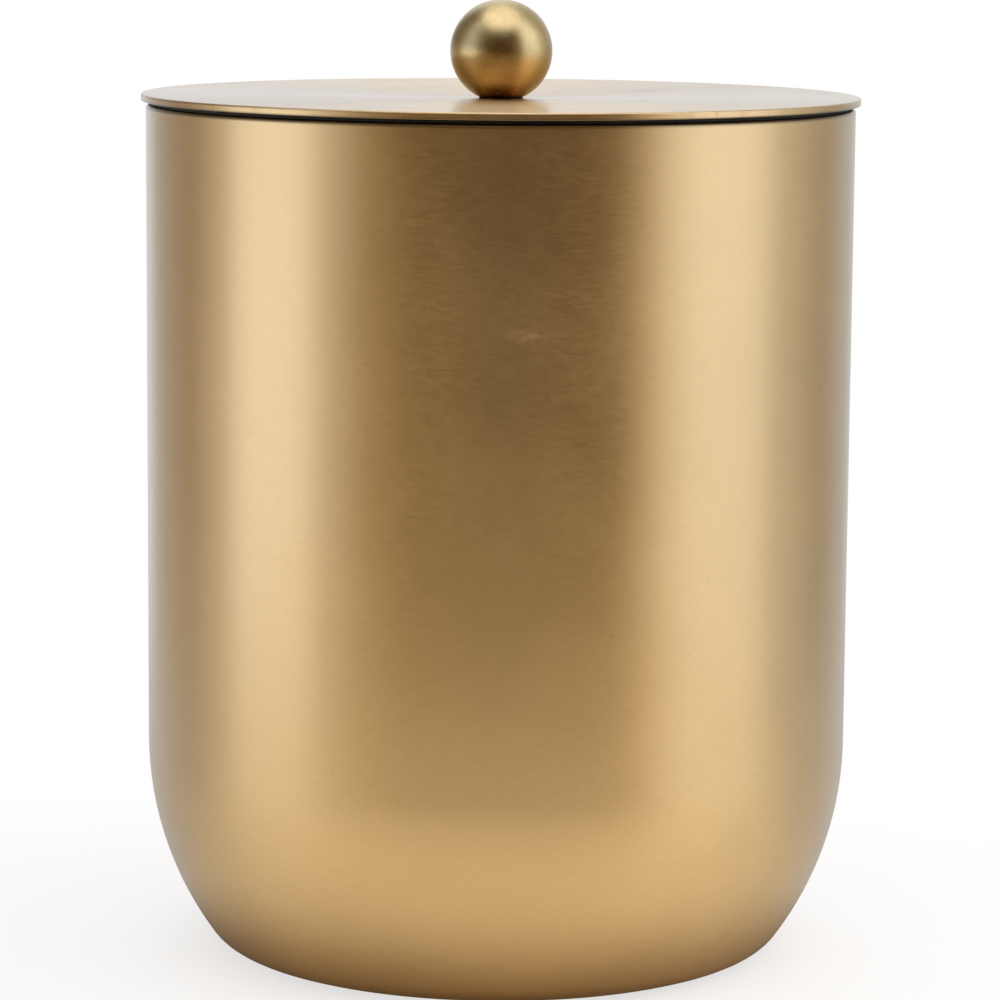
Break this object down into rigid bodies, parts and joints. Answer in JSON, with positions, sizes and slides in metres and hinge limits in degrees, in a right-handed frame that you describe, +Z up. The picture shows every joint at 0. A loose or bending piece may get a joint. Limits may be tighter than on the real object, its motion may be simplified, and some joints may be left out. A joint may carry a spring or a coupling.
{
  "type": "lidded storage tin",
  "caption": "Round brushed-metal tin with a rounded base, a flat lift-off lid on a sealed collar, and a ball knob.",
  "frame": {"origin": "centre of the underside of the base pad, which is the face the tin stands on", "axes": "+Z up along the tin's axis, through the knob; every other direction round that axis is alike"},
  "size_m": [0.1724, 0.1724, 0.2299],
  "materials": {
    "brushed_brass": "brushed round the axis, lacquered",
    "drawn_brass": "as drawn, unpolished",
    "satin_brass": "turned and satin polished",
    "fastener_steel": "bright zinc plated",
    "seal_silicone": "matt moulded silicone",
    "pad_rubber": "matt moulded rubber",
    "washer_fibre": "dark vulcanised fibre"
  },
  "bodies": {
    "tin": {"body_shell": "brushed_brass", "base_pad": "pad_rubber"},
    "seal": {"lid_seal": "seal_silicone"},
    "lid": {"lid_plate": "brushed_brass", "lid_collar": "drawn_brass", "knob": "satin_brass", "knob_washer": "washer_fibre", "flat_washer": "fastener_steel", "lock_washer": "fastener_steel", "knob_screw": "fastener_steel"}
  },
  "joints": [
    {"name": "lid_lift", "type": "slide", "parent": "tin", "child": "seal", "axis": [0, 0, 1], "range_m": [0, 0.15]},
    {"name": "lid_turn", "type": "hinge", "parent": "seal", "child": "lid", "pos_m": [0, 0, 0.2061], "axis": [0, 0, 1], "continuous": true}
  ]
}
